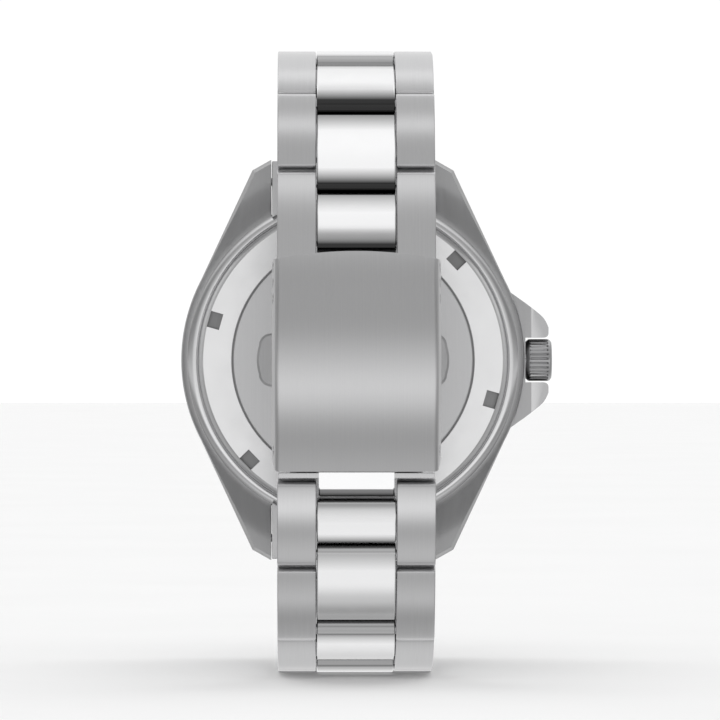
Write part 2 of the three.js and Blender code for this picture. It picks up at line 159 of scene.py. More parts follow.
def prism_x(name, outline, x0, x1):
    """An outline of (y, z) points, between two places on X."""
    return extruded(name, outline, x0, x1, lambda y, z, x: (x, y, z))


def prism_y(name, outline, y0, y1):
    """An outline of (x, z) points, between two depths."""
    return extruded(name, outline, y0, y1, lambda x, z, y: (x, y, z))


def about_y(centre=(0, 0)):
    """Places (radius, height, angle) about an upright axis along Y through (x, z)."""
    return lambda r, h, t: (centre[0] + r * math.cos(t), h, centre[1] + r * math.sin(t))


def about_x(centre):
    """Places (radius, height, angle) about an axis along X through (y, z)."""
    return lambda r, h, t: (h, centre[0] + r * math.cos(t), centre[1] + r * math.sin(t))


def turned(name, section, sides=160, place=about_y(), radius_at=None):
    """A closed section of (radius, height) points turned about an axis. radius_at may change a radius from
    one side to the next."""
    n = len(section)
    points = []
    for i in range(sides):
        for r, h in section:
            reach = radius_at(r, h, i) if radius_at else r
            points.append(place(reach, h, 2 * math.pi * i / sides))
    faces = []
    for i in range(sides):
        k = (i + 1) % sides
        for j in range(n):
            m = (j + 1) % n
            faces.append((i * n + j, k * n + j, k * n + m, i * n + m))
    return make(name, points, faces)


def loft_y(name, levels):
    """Outlines of (x, z) points with one count, stacked at their depths."""
    n = len(levels[0][1])
    points = [(x, y, z) for y, outline in levels for x, z in outline]
    faces = [tuple(range(n)), tuple(range(len(points) - n, len(points)))]
    for s in range(len(levels) - 1):
        for i in range(n):
            k = (i + 1) % n
            faces.append((s * n + i, s * n + k, (s + 1) * n + k, (s + 1) * n + i))
    return make(name, points, faces)


def inset(outline, distance):
    """An outline moved inwards. The outline runs anticlockwise."""
    moved = []
    for i, here in enumerate(outline):
        here = Vector(here)
        before = (here - Vector(outline[i - 1])).normalized()
        after = (Vector(outline[(i + 1) % len(outline)]) - here).normalized()
        inward = Vector((-before.y, before.x)) + Vector((-after.y, after.x))
        scale = distance * 2 / max(inward.length_squared, 0.2)
        moved.append(tuple(here + inward * scale))
    return moved


def curve_through(points, steps=5):
    """A smooth row of points through the given ones."""
    ends = [points[0], *points, points[-1]]
    row = []
    for i in range(1, len(ends) - 2):
        a, b, c, d = (Vector(ends[i + k]) for k in (-1, 0, 1, 2))
        for s in range(steps):
            t = s / steps
            bend = (2 * a - 5 * b + 4 * c - d) * t**2 + (3 * b - a - 3 * c + d) * t**3
            row.append(tuple(0.5 * (2 * b + (c - a) * t + bend)))
    return [*row, tuple(points[-1])]


def rod(name, radius, x0, x1, at, sides=32, chamfer=0.0):
    """A round bar along X about (y, z), with chamfered ends."""
    stations = [(x0, radius), (x1, radius)]
    if chamfer:
        face = radius - chamfer
        stations = [(x0, face), (x0 + chamfer, radius), (x1 - chamfer, radius), (x1, face)]
    points = []
    for x, r in stations:
        points += [(x, y, z) for y, z in arc(at, r, 0, 360, sides)[:-1]]
    faces = [tuple(range(sides)), tuple(range(len(points) - sides, len(points)))]
    for s in range(len(stations) - 1):
        for i in range(sides):
            k = (i + 1) % sides
            faces.append((s * sides + i, s * sides + k, (s + 1) * sides + k, (s + 1) * sides + i))
    return make(name, points, faces)


def drill(name, radius, at):
    """A cutter along X that goes right through a bracelet part."""
    return rod(name, radius, -THROUGH, THROUGH, at)


def block(name, low, high):
    (x0, y0, z0), (x1, y1, z1) = low, high
    return prism_x(name, [(y0, z0), (y1, z0), (y1, z1), (y0, z1)], x0, x1)


def grain(obj, along=(0, 0, 1), polar=False):
    """A UV map in millimetres: U runs with the grain and V across it."""
    along = Vector(along).normalized()
    layer = obj.data.uv_layers.get("grain") or obj.data.uv_layers.new(name="grain")
    for face in obj.data.polygons:
        t = along - face.normal * face.normal.dot(along)
        if t.length < 0.15:
            t = face.normal.orthogonal()
        t.normalize()
        b = face.normal.cross(t)
        if b.dot(Vector((1, 0.3, 0.2))) < 0:
            b = -b
        for corner in face.loop_indices:
            p = obj.data.vertices[obj.data.loops[corner].vertex_index].co / MM
            if polar:
                angle = math.atan2(p.z, p.x)
                layer.data[corner].uv = (angle * 20, math.hypot(p.x, p.z) + p.y)
            else:
                layer.data[corner].uv = (p.dot(t), p.dot(b))
    return obj


def span(obj, along, beyond=0.0):
    """A second UV map, which places the centre pieces' painted end shade: each point's distance in
    millimetres to the piece's upper end, and to a place that lies beyond its lower end."""
    along = Vector(along).normalized()
    if along.z < 0 or (along.z == 0 and along.y < 0):
        along = -along
    reach = [v.co.dot(along) / MM for v in obj.data.vertices]
    low, high = min(reach), max(reach)
    layer = obj.data.uv_layers.new(name="span")
    for corner in obj.data.loops:
        u = reach[corner.vertex_index]
        layer.data[corner.index].uv = (high - u, u - low + beyond)


def dress(obj, material, body, slot, *replaced, along=(0, 0, 1), polar=False, second=None, where=None):
    """Gives a piece its grain, its material and its place on a CAD body. The second material goes on the
    faces that pass the test on their normal and their middle in millimetres."""
    grain(obj, along, polar)
    obj.data.materials.clear()
    obj.data.materials.append(material)
    if second:
        obj.data.materials.append(second)
    for face in obj.data.polygons:
        face.material_index = 1 if second and where(face.normal, face.center / MM) else 0
    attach(obj, body)
    if replaced:
        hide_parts(*replaced)
    return obj


# ---------------- materials


def new_material(name):
    material = bpy.data.materials.new(name)
    material.use_nodes = True
    nodes = material.node_tree.nodes
    return material, nodes, material.node_tree.links, nodes["Principled BSDF"]


def noise_on_grain(nodes, links, along, across, detail=3.0, source="UV"):
    """Noise that is stretched along the grain: along and across are its cells per millimetre."""
    place = nodes.new("ShaderNodeTexCoord")
    scale = nodes.new("ShaderNodeMapping")
    scale.inputs["Scale"].default_value = (along, across, 1)
    noise = nodes.new("ShaderNodeTexNoise")
    noise.inputs["Scale"].default_value = 1.0
    noise.inputs["Detail"].default_value = detail
    noise.inputs["Roughness"].default_value = 0.6
    links.new(place.outputs[source], scale.inputs["Vector"])
    links.new(scale.outputs["Vector"], noise.inputs["Vector"])
    return noise.outputs["Fac"]


def mapped(nodes, links, value, low, high, start=0.3, end=0.7):
    node = nodes.new("ShaderNodeMapRange")
    node.inputs["From Min"].default_value = start
    node.inputs["From Max"].default_value = end
    node.inputs["To Min"].default_value = low
    node.inputs["To Max"].default_value = high
    links.new(value, node.inputs["Value"])
    return node.outputs["Result"]


def tinted(nodes, links, value, dark, light):
    ramp = nodes.new("ShaderNodeValToRGB")
    ramp.color_ramp.elements[0].position = 0.3
    ramp.color_ramp.elements[1].position = 0.7
    ramp.color_ramp.elements[0].color = (*dark, 1)
    ramp.color_ramp.elements[1].color = (*light, 1)
    links.new(value, ramp.inputs["Fac"])
    return ramp.outputs["Color"]


def add_bump(nodes, links, shader, height, strength, distance=0.02):
    bump = nodes.new("ShaderNodeBump")
    bump.inputs["Strength"].default_value = strength
    bump.inputs["Distance"].default_value = distance * MM
    links.new(height, bump.inputs["Height"])
    links.new(bump.outputs["Normal"], shader.inputs["Normal"])


def shade_of(color, factor):
    return tuple(min(1.0, c * factor) for c in color)


def brushed_metal(name, color, roughness, strength=0.05, contrast=0.06, spread=0.82, across=11):
    """Metal with a straight long grain that follows the grain map."""
    material, nodes, links, shader = new_material(name)
    shader.inputs["Metallic"].default_value = 1
    shader.inputs["Anisotropic"].default_value = spread
    shader.inputs["Anisotropic Rotation"].default_value = 0.25
    tangent = nodes.new("ShaderNodeTangent")
    tangent.direction_type = "UV_MAP"
    tangent.uv_map = "grain"
    links.new(tangent.outputs["Tangent"], shader.inputs["Tangent"])
    fine = noise_on_grain(nodes, links, 0.12, across)
    broad = noise_on_grain(nodes, links, 0.05, across * 0.22, 2)
    both = nodes.new("ShaderNodeMath")
    both.operation = "MULTIPLY_ADD"
    both.inputs[1].default_value = 0.6
    scaled = nodes.new("ShaderNodeMath")
    scaled.operation = "MULTIPLY"
    scaled.inputs[1].default_value = 0.4
    links.new(broad, scaled.inputs[0])
    links.new(fine, both.inputs[0])
    links.new(scaled.outputs[0], both.inputs[2])
    streaks = both.outputs[0]
    links.new(
        tinted(nodes, links, streaks, shade_of(color, 1 - contrast), shade_of(color, 1 + contrast)),
        shader.inputs["Base Color"],
    )
    links.new(mapped(nodes, links, streaks, roughness - 0.06, roughness + 0.06), shader.inputs["Roughness"])
    add_bump(nodes, links, shader, streaks, strength)
    return material


def polished_metal(name, color, roughness=0.1, wear=0.05, ends=False):
    """Polished metal with faint smears and hairline scratches. With ends, painted shade darkens its colour
    towards the upper and lower edge of each piece, by the span map's distances."""
    material, nodes, links, shader = new_material(name)
    shader.inputs["Metallic"].default_value = 1
    smear = noise_on_grain(nodes, links, 0.25, 0.4, 4)
    hair = noise_on_grain(nodes, links, 0.4, 18, 2)
    tone = tinted(nodes, links, smear, shade_of(color, 0.97), color)
    if ends:
        place = nodes.new("ShaderNodeUVMap")
        place.uv_map = "span"
        split = nodes.new("ShaderNodeSeparateXYZ")
        links.new(place.outputs["UV"], split.inputs["Vector"])
        upper = mapped(nodes, links, split.outputs["X"], *UPPER_SHADE)
        lower = mapped(nodes, links, split.outputs["Y"], *LOWER_SHADE)
        both = nodes.new("ShaderNodeMath")
        both.operation = "MULTIPLY"
        links.new(upper, both.inputs[0])
        links.new(lower, both.inputs[1])
        shaded = nodes.new("ShaderNodeVectorMath")
        shaded.operation = "SCALE"
        links.new(tone, shaded.inputs["Vector"])
        links.new(both.outputs[0], shaded.inputs["Scale"])
        tone = shaded.outputs["Vector"]
    links.new(tone, shader.inputs["Base Color"])
    links.new(mapped(nodes, links, smear, roughness, roughness + wear), shader.inputs["Roughness"])
    add_bump(nodes, links, shader, hair, 0.015, 0.01)
    return material


def matte(name, color, roughness, grain_size=6.0, contrast=0.12, strength=0.1):
    material, nodes, links, shader = new_material(name)
    speck = noise_on_grain(nodes, links, grain_size, grain_size, 5)
    links.new(
        tinted(nodes, links, speck, shade_of(color, 1 - contrast), shade_of(color, 1 + contrast)),
        shader.inputs["Base Color"],
    )
    links.new(mapped(nodes, links, speck, roughness - 0.05, roughness + 0.08), shader.inputs["Roughness"])
    add_bump(nodes, links, shader, speck, strength)
    return material


def clear_glass(name):
    material, nodes, links, shader = new_material(name)
    shader.inputs["Transmission Weight"].default_value = 1
    shader.inputs["IOR"].default_value = 1.45
    shader.inputs["Base Color"].default_value = (0.97, 0.985, 1, 1)
    smear = noise_on_grain(nodes, links, 0.1, 0.1, 3)
    links.new(mapped(nodes, links, smear, 0.0, 0.02), shader.inputs["Roughness"])
    return material


STEEL = (0.5, 0.5, 0.505)
# Painted shade on the centre pieces: the share of the colour at a piece's edge and inside it, and the
# distances where each is reached.
UPPER_SHADE = (0.4, 1.0, 0.1, 2.6)
LOWER_SHADE = (0.04, 1.0, 0.7, 2.5)
LOWER_SHADE_BEYOND = 1.3
LINK_BRUSHED = brushed_metal("link_brushed_steel", shade_of(STEEL, 1.06), 0.33)
LINK_POLISHED = polished_metal("link_polished_steel", (0.8, 0.8, 0.805), 0.1, 0.04)
CENTRE_POLISHED_PAINTED_SHADE = polished_metal("centre_polished_steel_painted_shade", (0.78, 0.78, 0.785), 0.1, 0.04, ends=True)
CLASP_BRUSHED = brushed_metal("clasp_brushed_steel", shade_of(STEEL, 0.94), 0.33, 0.06, 0.06, 0.85, 9)
BLADE_BRUSHED = brushed_metal("blade_brushed_steel", shade_of(STEEL, 1.0), 0.3, 0.06)
CASE_POLISHED = polished_metal("case_polished_steel", (0.56, 0.56, 0.565), 0.17, 0.05)
CASE_SATIN = brushed_metal("case_satin_steel", shade_of(STEEL, 0.74), 0.34, 0.02, 0.04, 0.4, 5)
CASEBACK_POLISHED = polished_metal("caseback_polished_steel", (0.68, 0.68, 0.685), 0.2, 0.06)
CASEBACK_SATIN = brushed_metal("caseback_satin_steel", shade_of(STEEL, 1.22), 0.42, 0.04, 0.04, 0.3)
RECESS_SATIN = brushed_metal("recess_satin_steel", shade_of(STEEL, 0.92), 0.45, 0.08, 0.1, 0.3)
# Half as bright as the steel: painted shade in the caseback's notches and groove and under the clasp's end
# barrel.
PAINTED_SHADE_STEEL = brushed_metal("painted_shade_steel", shade_of(STEEL, 0.5), 0.4, 0.08, 0.1, 0.3)
CROWN_STEEL = polished_metal("crown_steel", (0.4, 0.4, 0.405), 0.34, 0.06)
BEZEL_STEEL = polished_metal("bezel_steel", (0.72, 0.72, 0.725), 0.12, 0.04)
PIN_STEEL = polished_metal("pin_steel", (0.5, 0.5, 0.51), 0.24, 0.08)
HAND_STEEL = polished_metal("hand_steel", (0.8, 0.8, 0.81), 0.08, 0.03)
BRASS = brushed_metal("gilt_brass", (0.75, 0.55, 0.26), 0.3, 0.04, 0.06, 0.3)
BRIDGE_STEEL = brushed_metal("bridge_steel", (0.66, 0.66, 0.64), 0.28, 0.05, 0.08, 0.4, 4)
RUBBER = matte("seal_rubber", (0.018, 0.018, 0.019), 0.7)
HOLDER = matte("holder_plastic", (0.06, 0.06, 0.062), 0.5)
BEZEL_BLACK = matte("bezel_black", (0.012, 0.013, 0.017), 0.18, 9, 0.15, 0.02)
SCALE_PAINT = matte("scale_paint", (0.78, 0.8, 0.78), 0.4, 9, 0.04)
DIAL_BLACK = matte("dial_black", (0.009, 0.01, 0.012), 0.45, 24, 0.3, 0.02)
LUME = matte("lume", (0.72, 0.8, 0.68), 0.55, 12, 0.05, 0.15)
GLASS = clear_glass("crystal_glass")

# ---------------- bracelet links

LINK_ROUND = 1.33
LINK_GAP_END = 1.6
LINK_PEAK = 1.62
LINK_SAG = 0.85
CENTRE_HALF = 4.5
OUTER_INNER_X = 4.6
PIN_HOLE = 0.72


def pillow(first, last, first_depth, last_depth, base=LINK_ROUND):
    """Side view of a link part as (across, along) points. The face away from the wrist is crowned, and each
    end rounds over, within its depth, to the flat face on the wrist side."""
    middle, half = (first + last) / 2, (last - first) / 2
    sag = LINK_SAG * min(1, half / 5) ** 0.5

    def end(depth):
        join, turn = half - depth, 0.0
        for _ in range(6):
            height = LINK_PEAK - sag * (join / half) ** 2
            radius = (height + base) / (1 + math.cos(turn))
            turn = math.atan(2 * sag * join / half**2 * depth / radius)
            join = half - depth * (1 - math.sin(turn))
        angles = [turn + (math.pi - turn) * i / 16 for i in range(17)]
        points = [(radius * (1 + math.cos(t)) - base, half - depth * (1 - math.sin(t))) for t in angles]
        return join, points

    start_join, start_end = end(first_depth)
    last_join, last_end = end(last_depth)
    crown = []
    for i in range(1, 24):
        u = -start_join + (last_join + start_join) * i / 24
        crown.append((LINK_PEAK - sag * (u / half) ** 2, u))
    outline = [(a, -u) for a, u in reversed(start_end)] + crown + last_end
    return [(a, middle + u) for a, u in outline]


def placed(outline, origin, along, out):
    """(across, along) points of a link as (y, z) in the watch's frame."""
    return [tuple(origin + out * across + along * u) for across, u in outline]


def link_piece(name, outline, spans, holes, width=0.13):
    parts = []
    for x0, x1 in spans:
        part = prism_x(name, outline, x0, x1)
        for at, radius in holes:
            boolean(part, rod("hole", radius, x0 - 1, x1 + 1, at, 28))
        parts.append(bevel(part, width, 3))
    return joined(name, *parts) if len(parts) > 1 else parts[0]


def slotted_pin(name, radius, half, at):
    """A round pin with chamfered ends and a driver slot in one of them."""
    pin = rod(name, radius, -half, half, at, 32, 0.12)
    y, z = at
    slot = block("slot", (half - 0.25, y - 2, z - 0.1), (half + 1, y + 2, z + 0.1))
    return smooth(boolean(pin, slot))


def bracelet_half(half_name, clasp_end):
    hinges = [JOINT_AT[f"{half_name}_link_{i}_hinge"] for i in range(1, 7)] + [clasp_end]
    pivots = [Vector((p.y, p.z)) for p in hinges]
    wrist = Vector((-22, 0))
    for i in range(6):
        start, end = pivots[i], pivots[i + 1]
        along = (end - start).normalized()
        length = (end - start).length
        out = Vector((along.y, -along.x))
        if out.dot(wrist - start) > 0:
            out = -out
        node = f"{half_name}_link_{i + 1}"
        edge = node_box(node)[1].x
        last = i == 5
        claw, claw_gap = (1.0, 0.2) if last and length < 9 else (LINK_ROUND, 0.45)
        outer_end = length + claw if last else length - LINK_GAP_END
        outer = pillow(-LINK_ROUND, outer_end, 0.9, 0.9 if last else 0.3)
        holes = [(tuple(start), PIN_HOLE)]
        if last:
            holes.append((tuple(end), 0.6))
        outers = link_piece(
            f"{node}_outer_pieces",
            placed(outer, start, along, out),
            [(-edge, -OUTER_INNER_X), (OUTER_INNER_X, edge)],
            holes,
        )
        centre_end = length - claw - claw_gap if last else length + LINK_ROUND
        centre = pillow(LINK_GAP_END, centre_end, 0.3, 0.4 if last else 0.9)
        centre_piece = link_piece(
            f"{node}_centre_piece", placed(centre, start, along, out), [(-CENTRE_HALF, CENTRE_HALF)], []
        )
        tie = prism_x(
            f"{node}_cross_bar",
            placed([(-0.7, 2.8), (0.7, 2.8), (0.7, length - 2.9), (-0.7, length - 2.9)], start, along, out),
            -edge + 1,
            edge - 1,
        )
        grain_way = (0, along.x, along.y)
        dress(outers, LINK_BRUSHED, node, "link_steel", node, along=grain_way)
        dress(centre_piece, CENTRE_POLISHED_PAINTED_SHADE, node, "link_steel", along=grain_way)
        # The span map places the painted shade at the ends of the centre piece; it is darkest at the lower
        # end of the upper half's links 4 to 6.
        span(centre_piece, grain_way, 0 if half_name == "upper" and i > 2 else LOWER_SHADE_BEYOND)
        dress(bevel(tie, 0.15), LINK_BRUSHED, node, "link_steel", along=grain_way)
        pin_node = f"{half_name}_link_pin_{i + 1}"
        pin = slotted_pin(f"{pin_node}_slotted", 0.6, edge - 0.1, tuple(start))
        dress(pin, PIN_STEEL, node, "pin_steel", pin_node, along=(1, 0, 0))


bar_low, bar_high = node_box("lower_clasp_spring_bar")
lower_clasp_end = (bar_low + bar_high) / 2
bracelet_half("upper", JOINT_AT["clasp_cover_hinge"])
bracelet_half("lower", lower_clasp_end)

# ---------------- end links

LUG_BAR_AT = (2.3, 21.8)
LUG_BAR_HOLE = 0.75
END_LINK_HALF = 9.9
CASE_BODY_RADIUS = 19.7


def mirrored(points, side):
    return [(a, b * side) for a, b in points]


def end_link(half_name, side):
    node = f"{half_name}_end_link"
    pivot = JOINT_AT[f"{half_name}_link_1_hinge"]
    pivot_at = (pivot.y, abs(pivot.z))
    underside = 0.3
    near = pivot_at[1] - LINK_GAP_END - 0.1
    roof = curve_through([(3.0, near), (5.0, 23.1), (6.3, 21.5), (7.4, 19)])
    body = [(underside, 16.5), (underside, near), *roof, (7.4, 16.5)]
    tongue = [
        (pivot_at[0] - LINK_ROUND, 21),
        *arc(pivot_at, LINK_ROUND, 180, 0, 16),
        (pivot_at[0] + LINK_ROUND, 21),
    ]
    outers = [
        prism_x("outer", mirrored(body, side), x0, x1)
        for x0, x1 in ((-END_LINK_HALF, -OUTER_INNER_X), (OUTER_INNER_X, END_LINK_HALF))
    ]
    centre = prism_x("centre", mirrored(body, side), -CENTRE_HALF, CENTRE_HALF)
    boolean(centre, prism_x("tongue", mirrored(tongue, side), -CENTRE_HALF, CENTRE_HALF), operation="UNION")
    room = CASE_BODY_RADIUS + 0.3
    for part in (*outers, centre):
        boolean(
            part,
            turned("round", [(0, -2), (room, -2), (room, 11), (0, 11)], 128),
            drill("bar_hole", LUG_BAR_HOLE, (LUG_BAR_AT[0], side * LUG_BAR_AT[1])),
        )
    boolean(centre, drill("pin_hole", PIN_HOLE, (pivot.y, pivot.z)))
    web = prism_x("web", mirrored([(1.2, 20.6), (1.2, 24), (3.2, 23.6), (4.6, 20.6)], side), -9, 9)
    boolean(web, drill("bar_hole", LUG_BAR_HOLE, (LUG_BAR_AT[0], side * LUG_BAR_AT[1])))
    for part in (*outers, centre):
        bevel(part, 0.13)
    outer = joined(f"{node}_outer_pieces", *outers)
    centre.name = f"{node}_centre_piece"
    web.name = f"{node}_web"
    dress(outer, LINK_BRUSHED, "case", "link_steel", node)
    dress(centre, LINK_POLISHED, "case", "link_steel")
    dress(bevel(web, 0.1), LINK_BRUSHED, "case", "link_steel")


end_link("upper", 1)
end_link("lower", -1)

# ---------------- clasp

CLASP_AXIS = (-16.5, 0)
COVER_RADIUS = 32
COVER_PLATE = 0.8
COVER_DEPTH = 3.6
COVER_ARCH = 1.0
BLADE_HALF = 7.6
FOLD_BORE = 0.65
BARREL_ROOM = 1.3
cover_low, cover_high = node_box("clasp_cover")
LIP_AT = JOINT_AT["clasp_unfold"]
FOLD_AT = JOINT_AT["inner_blade_hinge"]
UPPER_END = JOINT_AT["clasp_cover_hinge"]


def clasp_angle(radius, z):
    return 180 - math.degrees(math.asin(z / radius))


def clasp_cover():
    """A curved plate whose edges round over into walls that lean outwards."""
    edge = cover_high.x
    skin = [(8.72, 0), (8.92, 0.04), (9.1, 0.15), (9.24, 0.36), (9.32, 0.62), (edge, COVER_DEPTH)]
    lining = [(edge - 0.45, COVER_DEPTH), (9.0, COVER_PLATE + 0.1), (8.9, COVER_PLATE)]
    right = skin + lining
    section = [(x, d) for x, d in right] + [(-x, d) for x, d in reversed(right)]
    section = section[len(skin) :] + section[: len(skin)]
    steps = 48
    first = clasp_angle(COVER_RADIUS, cover_low.z)
    last = clasp_angle(COVER_RADIUS, cover_high.z)
    points = []
    for i in range(steps + 1):
        turn = math.radians(first + (last - first) * i / steps)
        for x, depth in section:
            reach = COVER_RADIUS - depth
            points.append((x, CLASP_AXIS[0] + reach * math.cos(turn), reach * math.sin(turn)))
    n = len(section)
    faces = [tuple(range(n)), tuple(range(steps * n, steps * n + n))]
    for s in range(steps):
        for j in range(n):
            m = (j + 1) % n
            faces.append((s * n + j, s * n + m, (s + 1) * n + m, (s + 1) * n + j))
    cover = make("clasp_cover_plate", points, faces)
    arch = [
        (x, cover_high.z - COVER_ARCH * (x / edge) ** 2)
        for x in [edge * 1.2 * (i / 20 - 1) for i in range(41)]
    ]
    boolean(cover, prism_y("arch", [*arch, (edge * 1.2, 20), (-edge * 1.2, 20)], -60, -30))
    spacing = math.degrees(1.9 / 30)
    centre = Vector(CLASP_AXIS)
    holes = [(LIP_AT.y, LIP_AT.z)]
    for i in range(3):
        offset = Vector((UPPER_END.y, UPPER_END.z)) - centre
        offset.rotate(Matrix.Rotation(math.radians(spacing * i), 2))
        holes.append(tuple(centre + offset))
    for at in holes:
        boolean(cover, drill("hole", 0.62, at))
    bevel(cover, 0.13, 3, 50)
    dress(cover, CLASP_BRUSHED, "clasp_cover", "clasp_steel", "clasp_cover")


def band(outer, thickness, low, high, steps=40):
    start, end = clasp_angle(outer, low), clasp_angle(outer, high)
    return arc(CLASP_AXIS, outer, start, end, steps) + arc(CLASP_AXIS, outer - thickness, end, start, steps)


def barrel(radius, x0, x1, at, bore):
    return boolean(rod("barrel", radius, x0, x1, at, 40, 0.12), rod("bore", bore, x0 - 1, x1 + 1, at))


def clasp_blades():
    lip, fold = (LIP_AT.y, LIP_AT.z), (FOLD_AT.y, FOLD_AT.z)
    strip = band(30.6, 1, lip[1] + 0.3, fold[1] - 0.2)
    outer = prism_x("outer_blade_strip", strip, -BLADE_HALF, BLADE_HALF)
    for x0, x1 in ((-9, -3), (3, 9)):
        boolean(outer, rod("clearance", BARREL_ROOM, x0, x1, fold, 40))
    boolean(outer, drill("lip_bore", 0.6, lip), drill("fold_bore", FOLD_BORE, fold))
    bevel(outer, 0.12)
    outer = joined(
        "clasp_outer_blade_pressed",
        outer,
        smooth(barrel(0.8, -BLADE_HALF, BLADE_HALF, lip, 0.6)),
        smooth(barrel(0.95, -3, 3, fold, FOLD_BORE)),
    )
    dress(outer, BLADE_BRUSHED, "outer_blade", "clasp_steel", "clasp_outer_blade")

    end = (lower_clasp_end.y, lower_clasp_end.z)
    strip = band(29, 1, cover_low.z - 0.5, fold[1] - 0.2)
    inner = prism_x("inner_blade_strip", strip, -BLADE_HALF, BLADE_HALF)
    boolean(inner, rod("clearance", BARREL_ROOM, -3.3, 3.3, fold, 40))
    boolean(inner, drill("fold_bore", FOLD_BORE, fold))
    bevel(inner, 0.12)
    foot_outline = [(-1, -0.75), (-0.8, -0.75), (-0.3, -0.45), (0.6, -0.45), (0.6, -0.15), (-1, -0.15)]
    foot = prism_x("foot", [(end[0] + y, cover_low.z + z) for y, z in foot_outline], -8.9, 8.9)
    bevel(foot, 0.05)
    reach = CENTRE_HALF - 0.2
    front, back, tongue_top = end[0] - 1.05, end[0] + 1, cover_low.z - 0.1
    tongue = prism_x(
        "tongue",
        [(front, end[1]), (front, tongue_top), (back, tongue_top), (back, end[1])],
        -reach,
        reach,
    )
    boolean(tongue, drill("bore", FOLD_BORE, end))
    inner = joined(
        "clasp_inner_blade_pressed",
        inner,
        foot,
        smooth(barrel(0.95, -BLADE_HALF, -3.3, fold, FOLD_BORE)),
        smooth(barrel(0.95, 3.3, BLADE_HALF, fold, FOLD_BORE)),
    )
    dress(inner, BLADE_BRUSHED, "inner_blade", "clasp_steel", "clasp_inner_blade")
    tube = smooth(barrel(1.0, -reach, reach, end, FOLD_BORE))
    end_barrel = joined("clasp_end_barrel", smooth(tongue), tube)
    # The faces below the barrel's axis take the dark steel: painted shade under the barrel, in the gap to the
    # last link.
    dress(
        end_barrel,
        LINK_POLISHED,
        "inner_blade",
        "clasp_steel",
        along=(1, 0, 0),
        second=PAINTED_SHADE_STEEL,
        where=lambda normal, centre: centre.z < end[1] - 0.1,
    )


clasp_cover()
clasp_blades()

# ---------------- case, caseback

CASE_RADIUS = 21
FLANK_BREAK = 9.8
LUG_CORNER = (12.3, 23.2)
LUG_TIP = (10, 24.5)
LUG_GAP = 20
STEM = ((node_box("crown_stem")[0] + node_box("crown_stem")[1]) / 2).yz
CASE_EDGE = node_box("case_middle")[1].x
BACK_EDGE = node_box("caseback")[1].x


def case_plan():
    """Plan of case and lugs: a round middle, straight flanks, and lug ends that slope to the gap."""
    turn = math.degrees(math.asin(FLANK_BREAK / CASE_RADIUS))
    right = [*arc((0, 0), CASE_RADIUS, -turn, turn, 48), LUG_CORNER, LUG_TIP]
    left = [(-LUG_TIP[0], LUG_TIP[1]), (-LUG_CORNER[0], LUG_CORNER[1])]
    left += [*arc((0, 0), CASE_RADIUS, 180 - turn, 180 + turn, 48), (-LUG_CORNER[0], -LUG_CORNER[1])]
    lower = [(-LUG_TIP[0], -LUG_TIP[1]), (LUG_TIP[0], -LUG_TIP[1]), (LUG_CORNER[0], -LUG_CORNER[1])]
    return [*right, *left, *lower]


def crown_guard(side):
    """A shoulder beside the crown, with a rounded tip."""
    tip = CASE_EDGE
    shoulder = [(tip, 4.0), (tip - 0.65, 5.2), (tip - 2.35, 6.6), (tip - 4.15, 7.9), (17.5, 9.6)]
    outer = curve_through(shoulder, 3)
    plan = [(17.3, 2.75), *arc((tip - 0.55, 3.3), 0.55, -90, 0, 6), *outer]
    plan = mirrored(plan, side)
    if side < 0:
        plan = plan[::-1]
    return loft_y("guard", [(2.9, plan), (6.8, plan), (7.3, inset(plan, 0.2))])


